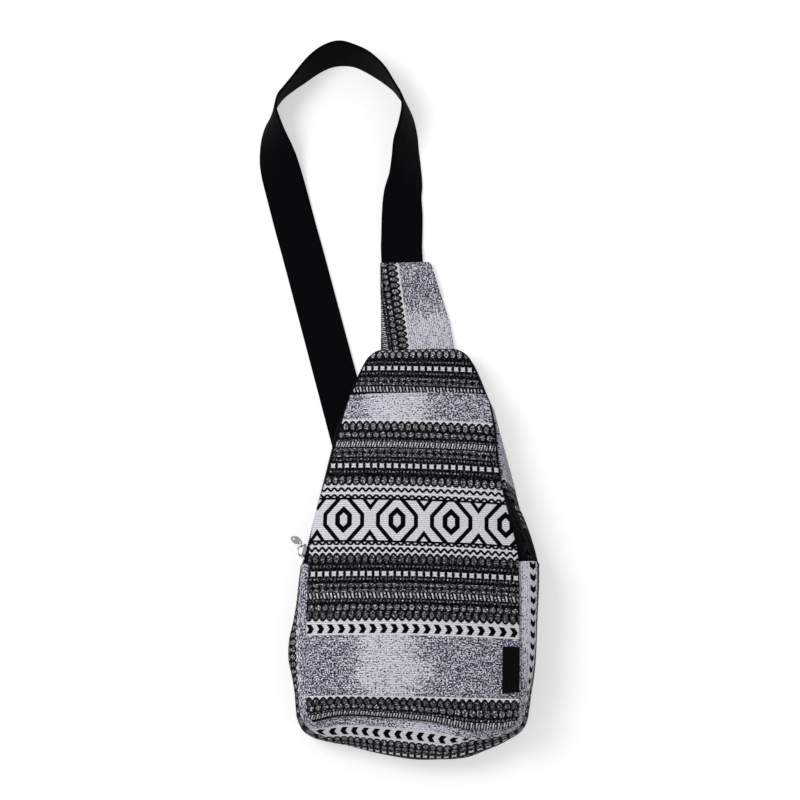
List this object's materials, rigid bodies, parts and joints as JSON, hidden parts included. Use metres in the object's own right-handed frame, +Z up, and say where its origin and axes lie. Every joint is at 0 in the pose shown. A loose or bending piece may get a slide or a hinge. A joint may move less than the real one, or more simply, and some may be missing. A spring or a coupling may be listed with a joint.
{
  "type": "crossbody sling bag",
  "caption": "Teardrop sling bag of patterned woven cotton with a slip pocket, a zip round its top and a wide webbing strap from a neck tab to the base",
  "frame": {"origin": "middle of the footprint of the whole bag and strap, on the surface the bag lies on", "axes": "+Z up out of the front panel, +Y from the bag's base towards the strap loop, +X to the right when looking down on the front"},
  "size_m": [0.255, 0.665, 0.0761],
  "materials": {
    "jacquard": "matt woven cotton in black, white and slate",
    "webbing": "matt black herringbone webbing",
    "lining_cotton": "matt plain weave",
    "zip_tape": "matt black tape",
    "zip_nylon": "black moulded nylon",
    "nickel": "bright nickel plate",
    "label_satin": "black satin ribbon"
  },
  "bodies": {
    "bag": {"back_panel": "jacquard", "back_strip": "jacquard", "front_panel": "jacquard", "front_pocket": "jacquard", "lining_back": "lining_cotton", "lining_front": "lining_cotton", "lining_gusset": "lining_cotton", "lower_gusset": "jacquard", "neck_tab_back": "jacquard", "neck_tab_front": "jacquard", "shoulder_strap": "webbing", "side_label": "label_satin", "zip_bottom_stop": "nickel", "zip_coil_back": "zip_nylon", "zip_coil_front": "zip_nylon", "zip_tape_back": "zip_tape", "zip_tape_front": "zip_tape", "zip_top_stop_back": "nickel", "zip_top_stop_front": "nickel"},
    "slider": {"zip_slider": "nickel"},
    "ring": {"zip_pull_ring": "nickel"},
    "pull": {"zip_pull_leaf": "nickel"}
  },
  "joints": [
    {"name": "slider_travel", "type": "slide", "parent": "bag", "child": "slider", "axis": [0.2179, 0.9701, -0.1073], "range_m": [0, 0.11]},
    {"name": "ring_swing", "type": "hinge", "parent": "slider", "child": "ring", "pos_m": [-0.07692, -0.15575, 0.04463], "axis": [-0.1372, -0.0785, -0.9874], "range_deg": [-105, 4]},
    {"name": "pull_swing", "type": "hinge", "parent": "ring", "child": "pull", "pos_m": [-0.07922, -0.1483, 0.04435], "axis": [-0.1372, -0.0785, -0.9874], "range_deg": [-4, 76]}
  ]
}
